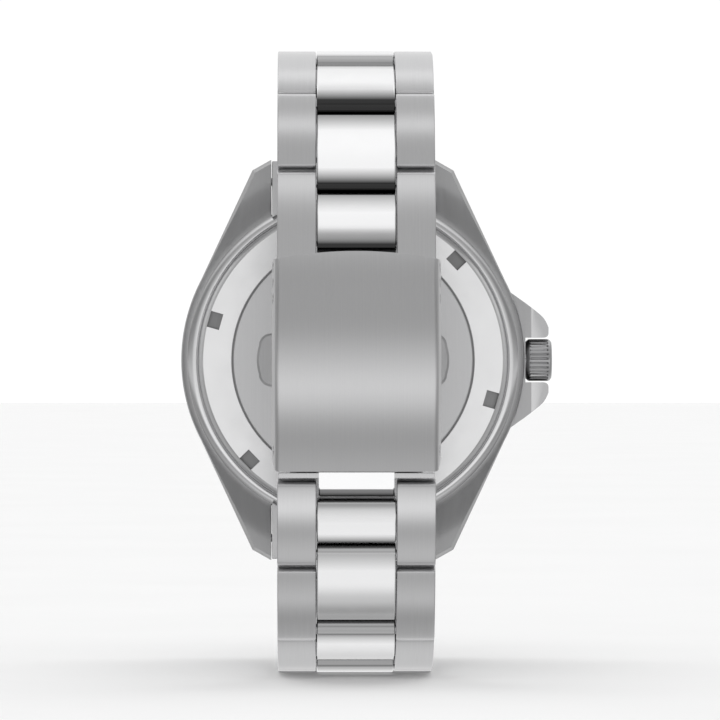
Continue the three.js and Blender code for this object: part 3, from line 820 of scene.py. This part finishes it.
def case_middle():
    plan = case_plan()
    top = 8.9
    body = loft_y("case", [(0.1, inset(plan, 0.5)), (1.4, plan), (8.2, plan), (top, inset(plan, 0.6))])
    roof = curve_through([(3.9, 25.3), (4.4, 23.9), (6.4, 21.8), (7.9, 19), (8.7, 16.3), (top + 0.01, 14)])
    half = [(0, 14), (0, 25.3), *roof]
    side = [*half, *[(y, -z) for y, z in reversed(half)]]
    boolean(body, prism_x("side", side, -30, 30), operation="INTERSECT")
    scoop = curve_through([(20.3, 1.15), (20.9, 1.05), (22.2, 0.62), (23.6, 0.3), (25, 0.22), (27.5, 0.2)], 5)
    boolean(body, turned("underside", [(0, -2), (0, 1.15), *scoop, (27.5, -2)], 160))
    for s in (1, -1):
        gap = block("gap", (-LUG_GAP / 2, -1, min(s * 8, s * 30)), (LUG_GAP / 2, 10, max(s * 8, s * 30)))
        round_body = [(0, -2), (CASE_BODY_RADIUS, -2), (CASE_BODY_RADIUS, 12), (0, 12)]
        boolean(gap, turned("round", round_body, 160))
        boolean(body, gap)
    neck = turned("neck", [(15, 8.4), (18, 8.4), (18, 10.9), (15, 10.9)], 160)
    seat = block("crown_seat", (19.5, 3, -3.2), (node_box("crown")[0].x - 0.12, 7.1, 3.2))
    boolean(body, neck, crown_guard(1), crown_guard(-1), seat, operation="UNION")
    wedge = prism_x("wedge", [(1, 21.9), (2.9, 21.9), (4.1, 25), (1, 25)], -THROUGH, THROUGH)
    wedge.data.transform(Matrix.Rotation(math.pi / 2, 4, "Y"))
    boolean(body, wedge)
    bore = [
        (0, 0), (19.1, 0), (19.1, 1.25), (19, 1.4), (19, 2.35), (17.5, 2.35), (17.5, 3.5),
        (16.3, 3.5), (16.3, 10.45), (16.65, 10.45), (16.65, 12), (0, 12),
    ]
    boolean(body, turned("bore", bore, 160), rod("tube_hole", 1.8, 14, 30, tuple(STEM), 48))
    for s in (1, -1):
        boolean(body, rod("bar_hole", LUG_BAR_HOLE, -11.4, 11.4, (LUG_BAR_AT[0], s * LUG_BAR_AT[1]), 24))
    bevel(body, 0.16, 2, 30)
    body.name = "case_middle_body"
    dress(
        body, CASE_SATIN, "case", "case_steel", "case_middle",
        second=CASE_POLISHED, where=lambda n, c: n.y > 0.86 or (c.x > 21.7 and n.y < -0.5),
    )
    lip = [(18.9, 0.95), (19.0, 0.66), (19.15, 0.6), (19.75, 0.68), (20.35, 1.25), (18.9, 1.25)]
    rim = turned("case_rim", lip, 192)
    dress(smooth(rim, 60), CASE_POLISHED, "case", "case_steel", polar=True)


def rounded_bar(half_length, half_width, corner, bulge=0.9):
    """The outline of a bar along X with slightly bowed ends and rounded corners, as (x, z) points."""
    straight = half_width - corner
    heights = [straight * (i / 8 - 1) for i in range(16)]
    end = [(half_length - bulge * (z / half_width) ** 2, z) for z in heights]
    cap = arc((end[0][0] - corner, straight), corner, 0, 90, 10)
    side = [(x, -z) for x, z in reversed(cap)] + end + cap
    return [(sign * x, sign * z) for sign in (1, -1) for x, z in side]


def caseback():
    edge = BACK_EDGE + 0.27
    plate = turned("caseback_plate", [
        (14.82, 0.08), (14.89, 0.02), (18.3, 0.02), (18.4, 0.1), (18.85, 0.6), (edge - 0.02, 0.75),
        (edge, 1.5), (17.2, 1.5), (17.2, 3.2), (16.2, 3.2), (16.2, 1.15), (14.82, 1.15),
    ], 192)
    for i in range(6):
        notch = block("notch", (16.75, -1, -1), (18.3, 0.9, 1))
        notch.data.transform(Matrix.Rotation(-math.radians(44 + 60 * i), 4, "Y"))
        boolean(plate, notch)
    # The notch faces take the dark steel: painted shade inside the notches.
    dress(
        smooth(plate, 20), CASEBACK_POLISHED, "case", "caseback_steel", "caseback", polar=True,
        second=PAINTED_SHADE_STEEL, where=lambda n, c: 16.7 < math.hypot(c.x, c.z) < 18.4 and 0.1 < c.y < 1,
    )
    centre = turned("caseback_centre", [
        (0, 0), (14.54, 0), (14.6, 0.06), (14.6, 0.45), (14.82, 0.5), (14.82, 1.14), (0, 1.14)
    ], 192)
    recess = loft_y("recess", [
        (-0.5, rounded_bar(11.75, 3.25, 1.5)), (0.02, rounded_bar(11.75, 3.25, 1.5)),
        (0.2, rounded_bar(11.5, 3.05, 1.4)),
    ])
    boolean(centre, recess)
    dress(
        smooth(centre, 20), CASEBACK_SATIN, "case", "caseback_steel",
        second=RECESS_SATIN, where=lambda n, c: abs(c.x) < 12.4 and abs(c.z) < 3.3 and 0 < c.y < 0.25,
    )
    # A dark ring on the floor of the groove between plate and centre: painted shade in the groove.
    floor = turned("caseback_groove", [(14.58, 0.4), (14.84, 0.4), (14.84, 0.6), (14.58, 0.6)], 192)
    dress(smooth(floor, 20), PAINTED_SHADE_STEEL, "case", "caseback_steel", polar=True)


case_middle()
caseback()

# ---------------- crown, bezel, crystal

CROWN_RIBS = 28


def crown():
    low, high = node_box("crown")
    reach = high.z
    start, end = low.x, high.x
    section = [
        (1.95, start), (reach - 0.28, start), (reach - 0.04, start + 0.26), (reach, start + 0.42),
        (reach, start + 0.6), (reach, end - 0.62), (reach, end - 0.44), (reach - 0.06, end - 0.26),
        (reach - 0.36, end - 0.02), (1.7, end), (1.6, end - 0.1), (0, end - 0.06),
        (0, end - 0.75), (0.75, end - 0.75), (0.75, start + 1.8), (1.95, start + 1.8),
    ]
    pattern = (0, 0, 0, 0, 0.1, 0.18, 0.18, 0.1)

    def ribbed(r, x, i):
        inside_band = start + 0.5 < x < end - 0.5
        return r - pattern[i % 8] if r == reach and inside_band else r

    body = turned("crown_ribbed", section, CROWN_RIBS * 8, about_x(tuple(STEM)), ribbed)
    smooth(body, 30)
    dress(body, CROWN_STEEL, "crown", "crown_steel", "crown", along=(1, 0, 0))


def bezel():
    rim = node_box("bezel_ring")[1].x
    section = [
        (19, 9.5), (rim - 0.45, 9.5), (rim - 0.15, 9.65), (rim, 9.95), (rim, 11.35), (rim - 0.3, 11.75),
        (20.05, 12.3), (19.85, 12.4), (19.7, 12.4), (19.7, 11.95), (17, 11.95), (17, 11.3), (18.35, 11.3),
        (18.35, 10.3), (19, 10.3),
    ]
    pattern = (0, 0, 0, 0.13, 0.24, 0.13)

    def coined(r, y, i):
        return r - pattern[i % 6] if r == rim else r

    ring = turned("bezel_coin_edge", section, 120 * 6, about_y(), coined)
    smooth(ring, 30)
    dress(ring, BEZEL_STEEL, "bezel", "bezel_steel", "bezel_ring", polar=True)
    disc = [(17.1, 12.05), (19.4, 12.05), (19.45, 12.2), (19.35, 12.3), (17.2, 12.48), (17.1, 12.4)]
    insert = turned("bezel_insert_disc", disc, 192)
    smooth(insert, 30)
    dress(insert, BEZEL_BLACK, "bezel", "bezel_scale", "bezel_insert", polar=True)


def at_clock(angle, radius, y):
    """A place on the dial side at a clock angle from 12 o'clock, in degrees."""
    t = math.radians(angle)
    return Vector((radius * math.sin(t), y, -radius * math.cos(t)))


def clock_frame(angle, radius, y):
    """A frame at a clock place: local X across, local Y outwards, local Z towards the crystal."""
    t = math.radians(angle)
    frame_axes = Matrix((
        (math.cos(t), math.sin(t), 0),
        (0, 0, 1),
        (math.sin(t), -math.cos(t), 0),
    )).to_4x4()
    return Matrix.Translation(at_clock(angle, radius, y) * MM) @ frame_axes


def flat_shape(name, outline, thickness, frame_axes):
    """A thin tablet from an outline of (across, outward) points."""
    obj = extruded(name, outline, 0, thickness, lambda a, b, h: (a, b, h))
    obj.data.transform(frame_axes)
    return obj


def box_outline(half_across, half_outward):
    a, b = half_across, half_outward
    return [(-a, -b), (a, -b), (a, b), (-a, b)]


def bezel_scale():
    marks = []
    lift = 12.37
    for minute in range(60):
        angle = minute * 6
        if minute == 0:
            outline = [(-1.05, 0.85), (1.05, 0.85), (0, -0.9)]
            marks.append(flat_shape("mark", outline, 0.04, clock_frame(angle, 18.25, lift)))
        elif minute % 10 == 0:
            text = bpy.data.curves.new("numeral", "FONT")
            text.body = str(minute)
            text.size = 2.15 * MM
            text.align_x = "CENTER"
            text.align_y = "CENTER"
            text.extrude = 0.02 * MM
            holder = bpy.data.objects.new("numeral", text)
            bpy.context.scene.collection.objects.link(holder)
            bpy.context.view_layer.update()
            mesh = bpy.data.meshes.new_from_object(holder)
            bpy.data.objects.remove(holder)
            numeral = bpy.data.objects.new("numeral", mesh)
            bpy.context.scene.collection.objects.link(numeral)
            mesh.transform(clock_frame(angle, 18.27, lift + 0.02))
            marks.append(numeral)
        elif minute % 5 == 0:
            marks.append(flat_shape("mark", box_outline(0.22, 0.75), 0.04, clock_frame(angle, 18.27, lift)))
        elif minute < 15:
            at = clock_frame(angle, 18.6, lift - 0.02)
            marks.append(flat_shape("mark", box_outline(0.09, 0.4), 0.04, at))
    scale = joined("bezel_minute_scale", *marks)
    dress(scale, SCALE_PAINT, "bezel", "bezel_scale", along=(1, 0, 0))
    pip = turned("bezel_pip", [(0, 12.4), (0.42, 12.4), (0.4, 12.5), (0.25, 12.58), (0, 12.6)], 32,
                 about_y(tuple(at_clock(0, 18.5, 0).xz)))
    dress(smooth(pip), LUME, "bezel", "bezel_scale")


def crystal():
    low, high = node_box("crystal")
    edge = high.x
    dome = [(edge - 0.25, high.y - 0.32)]
    reaches = [(edge - 0.4) * (1 - i / 24) for i in range(25)]
    dome += [(r, high.y - 0.3 * (r / (edge - 0.3)) ** 2) for r in reaches]
    section = [(0, low.y), (edge - 0.1, low.y), (edge, low.y + 0.1), (edge, high.y - 0.55), *dome]
    glass = smooth(turned("crystal_dome", section, 160), 25)
    dress(glass, GLASS, "case", "crystal_glass", "crystal")


crown()
bezel()
bezel_scale()
crystal()

# ---------------- dial and hands


def dial():
    low, high = node_box("dial")
    y = high.y
    plate = turned("dial_plate", [(1.6, low.y), (15.6, low.y), (15.6, y), (1.6, y)], 160)
    dress(bevel(plate, 0.03, 2), DIAL_BLACK, "case", "dial_paint", "dial", polar=True)
    frames, lume, track = [], [], []
    for hour in range(12):
        angle = hour * 30
        if hour == 3:
            frames.append(flat_shape("rim", box_outline(1.2, 1.45), 0.05, clock_frame(90, 11.2, y)))
            lume.append(flat_shape("window", box_outline(0.95, 1.2), 0.02, clock_frame(90, 11.2, y + 0.05)))
            continue
        if hour == 0:
            shape = [(-1.35, 1.5), (1.35, 1.5), (0, -1.5)]
            inner = [(-0.95, 1.25), (0.95, 1.25), (0, -0.95)]
        elif hour in (6, 9):
            shape, inner = box_outline(0.65, 1.7), box_outline(0.42, 1.47)
        else:
            shape, inner = arc((0, 0), 0.95, 0, 345, 23), arc((0, 0), 0.72, 0, 345, 23)
        frames.append(flat_shape("frame", shape, 0.16, clock_frame(angle, 12.2, y)))
        lume.append(flat_shape("lume", inner, 0.03, clock_frame(angle, 12.2, y + 0.15)))
    for minute in range(60):
        half = 0.12 if minute % 5 == 0 else 0.05
        track.append(flat_shape("tick", box_outline(half, 0.35), 0.02, clock_frame(minute * 6, 14.35, y)))
    dress(bevel(joined("dial_marker_frames", *frames), 0.03, 2), HAND_STEEL, "case", "hand_steel")
    dress(joined("dial_marker_lume", *lume), LUME, "case", "dial_paint")
    dress(joined("dial_minute_track", *track), SCALE_PAINT, "case", "dial_paint")


def hand(node, angle, half, length, tube):
    """A straight sword hand with a lume strip, on its tube."""
    low, high = node_box(node)
    blade_low = high.y - (0.25 if node != "seconds_hand" else 0.2)
    frame_axes = clock_frame(angle, 0, blade_low)
    outline = [
        (-half * 0.6, tube[0] + 0.2), (-half, length * 0.35), (-half, length - half * 2), (0, length),
        (half, length - half * 2), (half, length * 0.35), (half * 0.6, tube[0] + 0.2),
    ]
    blade = bevel(flat_shape("blade", outline, high.y - blade_low, frame_axes), 0.06, 2)
    collar = turned("collar", [(tube[0], low.y), (tube[1], low.y), (tube[1], blade_low), (tube[2], blade_low),
                               (tube[2], high.y), (tube[0], high.y)], 48)
    body = joined(f"{node}_body", blade, smooth(collar))
    dress(body, HAND_STEEL, node, "hand_steel", node)
    strip = [
        (-half * 0.55, length * 0.4), (-half * 0.55, length - half * 2.2), (0, length - half * 1.3),
        (half * 0.55, length - half * 2.2), (half * 0.55, length * 0.4),
    ]
    raised = flat_shape(f"{node}_lume", strip, 0.02, clock_frame(angle, 0, high.y - 0.005))
    dress(raised, LUME, node, "hand_steel")


def seconds_hand():
    low, high = node_box("seconds_hand")
    y = high.y - 0.2
    frame_axes = clock_frame(0, 0, y)
    needle = [(-0.16, -4.1), (-0.07, 13.1), (0.07, 13.1), (0.16, -4.1)]
    parts = [
        bevel(flat_shape("needle", needle, 0.18, frame_axes), 0.03, 2),
        smooth(turned("hub", [(0, y), (0.8, y), (0.8, high.y - 0.05), (0.7, high.y), (0, high.y)], 40)),
        smooth(turned("shaft", [(0, low.y), (0.2, low.y), (0.2, y), (0, y)], 24)),
    ]
    dress(joined("seconds_hand_needle", *parts), HAND_STEEL, "seconds_hand", "hand_steel", "seconds_hand")
    dot = turned("seconds_hand_dot", [(0, y), (0.6, y), (0.6, high.y - 0.04), (0.5, high.y), (0, high.y)], 32,
                 about_y(tuple(at_clock(0, 9.8, 0).xz)))
    dress(smooth(dot), LUME, "seconds_hand", "hand_steel")


dial()
hand("hour_hand", 304.5, 0.9, 8.6, (0.95, 1.3, 1.6))
hand("minute_hand", 54, 0.7, 12.6, (0.42, 0.7, 1.2))
seconds_hand()

# ---------------- CAD pieces that keep their shape

CARRIED = {
    RUBBER: ["caseback_gasket", "crystal_gasket", "bezel_gasket", "crown_gasket"],
    BRASS: ["clutch_pinion", "mainplate", "balance_wheel", "mainspring_barrel"],
    BRIDGE_STEEL: ["train_bridge", "rotor"],
    HOLDER: ["movement_holder"],
    PIN_STEEL: [
        "bezel_click_spring", "crown_stem", "crown_tube", "upper_lug_spring_bar", "lower_lug_spring_bar",
        "clasp_lip_pin", "clasp_fold_pin", "upper_clasp_spring_bar", "lower_clasp_spring_bar",
    ],
    CASE_SATIN: ["rehaut_ring"],
}
for material, names in CARRIED.items():
    for name in names:
        node = frame["nodes"][name]
        if not node.data.uv_layers:
            grain(node, (1, 0, 0))
        node.data.materials.clear()
        node.data.materials.append(material)

# ---------------- floor, light, camera

CAMERA_AT = (-6, -662, 0)
CAMERA_AIM = (0.85, 0, 0)
SENSOR = 36
FOCAL = 271.1
FLOOR_DROP = 0.05
STRIP_EDGE = (0.06, 0.11)
SIDE_EDGE = (0.4, 0.85)
BRIGHTEST = 4  # the level that is white in a ramp
FLOOR_LIGHT = 0.5
FLOOR_LIGHT_SPREAD = 50
FLOOR_LIGHT_TILT = -18
SIDE_LEVEL = 0.62
ROOM_LEVELS = [
    (-180, 1.03), (-150, 1.0), (-118, 0.95), (-104, 0.95), (-90, 0.75), (-78, 0.5), (-68, 0.6),
    (-56, 1.0), (-46, 0.8), (-33, 0.58), (-26, 0.8), (-18, 1.45), (-11, 1.62), (-4, 1.3), (3, 1.0),
    (12, 0.76), (24, 0.64), (36, 0.54), (47, 0.58), (53, 1.0), (58, 1.5), (64, 1.2), (74, 0.6),
    (88, 0.6), (108, 1.8), (118, 1.05), (150, 1.05), (180, 1.03),
]
STRIP_LEVELS = [
    (-180, 1.03), (-150, 0.8), (-112, 1.1), (-92, 0.4), (-78, 0.7), (-60, 1.1), (-30, 1.1),
    (3, 1.25), (14, 0.8), (30, 1.2), (70, 1.25), (100, 0.9), (115, 1.2), (150, 1.05), (180, 1.03),
]


def add_camera():
    data = bpy.data.cameras.new("camera")
    data.sensor_width = SENSOR
    data.lens = FOCAL
    data.clip_start = 0.01
    data.clip_end = 20
    camera = bpy.data.objects.new("camera", data)
    bpy.context.scene.collection.objects.link(camera)
    camera.location = Vector(CAMERA_AT) * MM
    aim = (Vector(CAMERA_AIM) - Vector(CAMERA_AT)) * MM
    camera.rotation_mode = "QUATERNION"
    camera.rotation_quaternion = aim.to_track_quat("-Z", "Y")
    bpy.context.scene.camera = camera


def add_floor_light():
    """A soft light for the floor and the painted pieces, which doesn't show in the metal."""
    light = bpy.data.lights.new("floor_light", "SUN")
    light.energy = FLOOR_LIGHT
    light.angle = math.radians(FLOOR_LIGHT_SPREAD)
    obj = bpy.data.objects.new("floor_light", light)
    bpy.context.scene.collection.objects.link(obj)
    obj.visible_glossy = False
    obj.rotation_euler = (math.radians(FLOOR_LIGHT_TILT), 0, 0)


def add_floor(height):
    """A pale floor far wider than the watch."""
    reach = 4000
    floor = make(
        "floor",
        [(-reach, -reach, height), (reach, -reach, height), (reach, reach, height), (-reach, reach, height)],
        [(0, 1, 2, 3)],
    )
    material = matte("pale_floor", (0.9, 0.9, 0.9), 0.8, 0.02, 0.01, 0.0)
    material.node_tree.nodes["Principled BSDF"].inputs["Specular IOR Level"].default_value = 0
    grain(floor, (0, 1, 0))
    floor.data.materials.append(material)
    floor.visible_glossy = False
    floor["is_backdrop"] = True


def add_world():
    """A white room for the metal to reflect. Its light depends on the angle up from the camera's side and
    over to the back, once for most of the room and once for a narrow upright strip in the middle. The room
    is darker at its sides."""
    world = bpy.data.worlds.new("studio")
    world.use_nodes = True
    nodes, links = world.node_tree.nodes, world.node_tree.links

    def math_node(operation, a, b):
        node = nodes.new("ShaderNodeMath")
        node.operation = operation
        for socket, value in zip(node.inputs, (a, b)):
            if isinstance(value, (int, float)):
                socket.default_value = value
            elif value is not None:
                links.new(value, socket)
        return node.outputs[0]

    def levels(position, pairs):
        ramp = nodes.new("ShaderNodeValToRGB")
        ramp.color_ramp.interpolation = "EASE"
        ramp.color_ramp.elements.remove(ramp.color_ramp.elements[1])
        for i, (angle, level) in enumerate(pairs):
            at = (angle + 180) / 360
            element = ramp.color_ramp.elements[0] if i == 0 else ramp.color_ramp.elements.new(at)
            element.position = at
            element.color = (level / BRIGHTEST, level / BRIGHTEST, level / BRIGHTEST, 1)
        links.new(position, ramp.inputs["Fac"])
        return math_node("MULTIPLY", ramp.outputs["Color"], BRIGHTEST)

    direction = nodes.new("ShaderNodeTexCoord")
    parts = nodes.new("ShaderNodeSeparateXYZ")
    links.new(direction.outputs["Generated"], parts.inputs["Vector"])
    toward_camera = math_node("MULTIPLY", parts.outputs["Y"], -1)
    turn = math_node("ARCTAN2", parts.outputs["Z"], toward_camera)
    position = math_node("ADD", math_node("DIVIDE", turn, 2 * math.pi), 0.5)
    room = levels(position, ROOM_LEVELS)
    strip = levels(position, STRIP_LEVELS)
    off_middle = math_node("ABSOLUTE", parts.outputs["X"], None)
    share = nodes.new("ShaderNodeMapRange")
    share.interpolation_type = "SMOOTHSTEP"
    share.inputs["From Min"].default_value = STRIP_EDGE[0]
    share.inputs["From Max"].default_value = STRIP_EDGE[1]
    links.new(off_middle, share.inputs["Value"])
    mix = nodes.new("ShaderNodeMix")
    links.new(share.outputs["Result"], mix.inputs["Factor"])
    links.new(strip, mix.inputs["A"])
    links.new(room, mix.inputs["B"])
    side = nodes.new("ShaderNodeMapRange")
    side.interpolation_type = "SMOOTHSTEP"
    side.inputs["From Min"].default_value = SIDE_EDGE[0]
    side.inputs["From Max"].default_value = SIDE_EDGE[1]
    side.inputs["To Min"].default_value = 1
    side.inputs["To Max"].default_value = SIDE_LEVEL
    links.new(off_middle, side.inputs["Value"])
    strength = math_node("MULTIPLY", mix.outputs["Result"], side.outputs["Result"])
    links.new(strength, nodes["Background"].inputs["Strength"])
    nodes["Background"].inputs["Color"].default_value = (1, 1, 1, 1)
    bpy.context.scene.world = world


add_world()
add_camera()
add_floor(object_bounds()[0].z / MM - FLOOR_DROP)
add_floor_light()
bpy.context.scene.view_settings.view_transform = "Standard"
